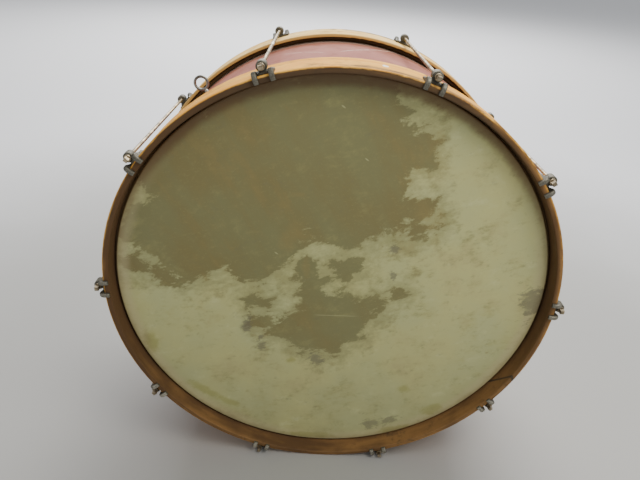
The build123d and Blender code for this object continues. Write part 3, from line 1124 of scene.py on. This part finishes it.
@dataclass
class Tension:
    """The rods and claws that pull the two hoops together."""

    drum: Drum
    count: int = 10
    pitch: float = 0.0254 / 24
    turns: float = 46.0
    root_r: float = 0.00236
    crest_r: float = 0.00275
    steps: int = 18
    overlap: float = 0.0012
    weld: float = 1e-6

    def threaded_rod(self, number: int, tree: ThreadTree,
                     nickel: Material) -> Mesh:
        """One rod: its smooth length, and the thread that screws into the rear claw.

        Args:
            number: the rod's number.
            tree: the tree that winds the thread.
            nickel: the rod's finish.

        Returns:
            The rod's mesh.
        """
        name = f"tension_rod_{number:02d}"
        low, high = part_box(name)
        x, z = (low.x + high.x) / 2, (low.z + high.z) / 2
        start = high.y - self.turns * self.pitch - self.pitch
        thread = tree.wind(name, {
            "Turns": self.turns, "Pitch": self.pitch, "Root Radius": self.root_r,
            "Crest Radius": self.crest_r, "Core Length": high.y - start + self.overlap,
            "Steps": self.steps, "Place": (x, start - self.overlap, z), "Material": nickel})
        shape = bmesh.new()
        shape.from_mesh(self.drum.nodes[name].data)
        bmesh.ops.remove_doubles(shape, verts=shape.verts, dist=self.weld)
        everything = shape.verts[:] + shape.edges[:] + shape.faces[:]
        cut = bmesh.ops.bisect_plane(shape, geom=everything, plane_co=(x, start, z),
                                     plane_no=(0, 1, 0), clear_outer=True)
        rim = [part for part in cut["geom_cut"] if isinstance(part, bmesh.types.BMEdge)]
        bmesh.ops.edgeloop_fill(shape, edges=rim)
        bmesh.ops.recalc_face_normals(shape, faces=shape.faces)
        for face in shape.faces:
            face.material_index = 0
        shape.from_mesh(thread)
        mesh = bpy.data.meshes.new(name + "_threaded")
        shape.to_mesh(mesh)
        shape.free()
        bpy.data.meshes.remove(thread)
        return mesh

    def build(self) -> None:
        """Makes the threaded rods in place of their nodes, and dresses the claws."""
        claw = AgedNickel("claw_nickel", bright=(0.27, 0.255, 0.205), dull=(0.125, 0.118, 0.09),
                          tarnish=0.85, axis_z=self.drum.axis_z).make()
        # The rod finish carries a painted glint on one rod.
        rod = AgedNickel("rod_nickel", bright=(0.58, 0.47, 0.31), dull=(0.3, 0.24, 0.155),
                         roughness=0.42, rubbed=(-0.1176, 0.010, 0.7321)).make()
        tree = ThreadTree()
        for number in range(1, self.count + 1):
            piece = add_piece(f"threaded_rod_{number:02d}", self.threaded_rod(number, tree, rod))
            wear(piece, rod)
            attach(piece, f"rod_{number:02d}")
            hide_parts(f"tension_rod_{number:02d}")
            self.drum.dress(claw, f"front_claw_{number:02d}", f"rear_claw_{number:02d}")
            LOG.info("rod %02d: %d turns of thread, with its two claws", number, self.turns)


@dataclass
class CarryEye:
    """The ring bolt that a sling hooks to."""

    drum: Drum

    def build(self) -> None:
        """Dresses the ring bolt, its washers and its nut."""
        ring = AgedNickel("ring_nickel", bright=(0.5, 0.49, 0.44), dull=(0.24, 0.23, 0.2))
        self.drum.dress(ring.make(), "carry_eye", "carry_eye_outer_washer")
        self.drum.dress(PlainSteel("plain_steel").make(), "carry_eye_inner_washer", "carry_eye_nut")
        LOG.info("carry eye: ring bolt, two washers and a nut")


@dataclass(frozen=True)
class Lamp:
    """A soft square light: its place, the point it faces, its side and its power in watts."""

    name: str
    place: Xyz
    target: Xyz
    size: float
    power: float
    tint: Rgb = (1.0, 1.0, 1.0)

    def hang(self) -> None:
        """Adds the light to the scene."""
        light = bpy.data.lights.new(self.name, "AREA")
        light.size, light.energy, light.color = self.size, self.power, self.tint
        lamp = bpy.data.objects.new(self.name, light)
        lamp.location = self.place
        lamp.rotation_mode = "QUATERNION"
        ahead = Vector(self.target) - Vector(self.place)
        lamp.rotation_quaternion = ahead.to_track_quat("-Z", "Y")
        bpy.context.scene.collection.objects.link(lamp)


@dataclass
class Studio:
    """The floor, the soft lights and the camera."""

    eye: Xyz = (-0.04365, -0.90346, 0.87642)
    yaw: float = 0.02534
    pitch: float = 0.50072
    roll: float = 0.06519
    focal: float = 30.23
    sensor: float = 36.0
    nearest: float = 0.01
    floor_half: float = 20.0
    sky: Rgb = (0.9, 0.92, 0.95)
    sky_strength: float = 0.57
    lamps: tuple[Lamp, ...] = (
        Lamp("overhead", (0.45, 0.75, 2.3), (0.0, 0.0, 0.37), 1.3, 37.0, (1.0, 0.98, 0.94)),
        Lamp("front_fill", (0.58, -0.74, 1.58), (0.1, -0.15, 0.6), 0.7, 10.5, (1.0, 0.97, 0.9)),
        Lamp("backdrop_wash", (0.0, 5.0, 3.6), (0.0, 4.0, 0.0), 4.0, 420.0))

    def camera(self) -> None:
        """Sets up the camera, looking down at the drum's front."""
        lens = bpy.data.cameras.new("view")
        lens.lens, lens.sensor_width, lens.clip_start = self.focal, self.sensor, self.nearest
        ahead = Vector((math.sin(self.yaw) * math.cos(self.pitch),
                        math.cos(self.yaw) * math.cos(self.pitch), -math.sin(self.pitch)))
        level = ahead.cross(Vector((0, 0, 1))).normalized()
        above = level.cross(ahead)
        right = level * math.cos(self.roll) + above * math.sin(self.roll)
        up = above * math.cos(self.roll) - level * math.sin(self.roll)
        camera = bpy.data.objects.new("view", lens)
        turned = Matrix((right, up, -ahead)).transposed().to_4x4()
        camera.matrix_world = Matrix.Translation(self.eye) @ turned
        bpy.context.scene.collection.objects.link(camera)
        bpy.context.scene.camera = camera

    def build(self) -> None:
        """Makes the floor, the sky, the lights and the camera."""
        half = self.floor_half
        corners = [(-half, -half, 0), (half, -half, 0), (half, half, 0), (-half, half, 0)]
        mesh = bpy.data.meshes.new("floor")
        mesh.from_pydata(corners, [], [(0, 1, 2, 3)])
        floor = add_piece("floor", mesh)
        wear(floor, PaleFloor("pale_floor").make())
        world = bpy.data.worlds.new("soft_studio")
        world.use_nodes = True
        bpy.context.scene.world = world
        sky = world.node_tree.nodes["Background"]
        sky.inputs["Color"].default_value = (*self.sky, 1.0)
        sky.inputs["Strength"].default_value = self.sky_strength
        for lamp in self.lamps:
            lamp.hang()
        self.camera()
        LOG.info("studio: floor, lights and camera")


def main() -> None:
    """Builds every sub-assembly in order."""
    logging.basicConfig(level=logging.INFO, format="%(name)s: %(message)s")
    drum = Drum.from_frame()
    Shell(drum).build()
    Head(drum, Side.FRONT, FRONT_STAINS, FRONT_MARKS).build()
    Head(drum, Side.REAR, REAR_STAINS, REAR_MARKS).build()
    CounterHoops(drum).build()
    Tension(drum).build()
    CarryEye(drum).build()
    Studio().build()


if __name__ == "__main__":
    main()
